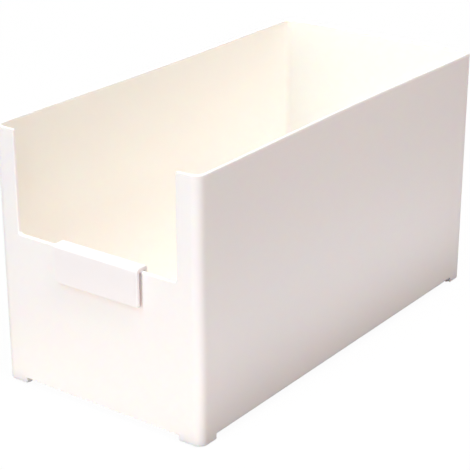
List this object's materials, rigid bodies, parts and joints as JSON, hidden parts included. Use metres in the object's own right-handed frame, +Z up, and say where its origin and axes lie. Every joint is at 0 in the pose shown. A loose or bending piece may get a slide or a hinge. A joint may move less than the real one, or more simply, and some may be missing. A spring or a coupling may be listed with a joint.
{
  "type": "stackable storage box",
  "caption": "Open-top stackable storage box with a U-shaped cut in the front wall, corner feet that locate a stack, and a label clip hooked over the low front sill.",
  "frame": {"origin": "on the surface that the box stands on, at the middle of the footprint in which the clip's overhang is counted", "axes": "+Z up; -Y is the front, with the cut and the clip; +X is the right seen from the front"},
  "size_m": [0.15, 0.3028, 0.1638],
  "materials": {
    "shell_plastic": "fine satin moulded white",
    "clip_plastic": "fine satin moulded white"
  },
  "bodies": {
    "box": {"box_shell": "shell_plastic"},
    "clip": {"label_clip": "clip_plastic"}
  },
  "joints": [
    {"name": "clip_lift", "type": "slide", "parent": "box", "child": "clip", "axis": [0, 0, 1], "range_m": [0, 0.026]}
  ]
}
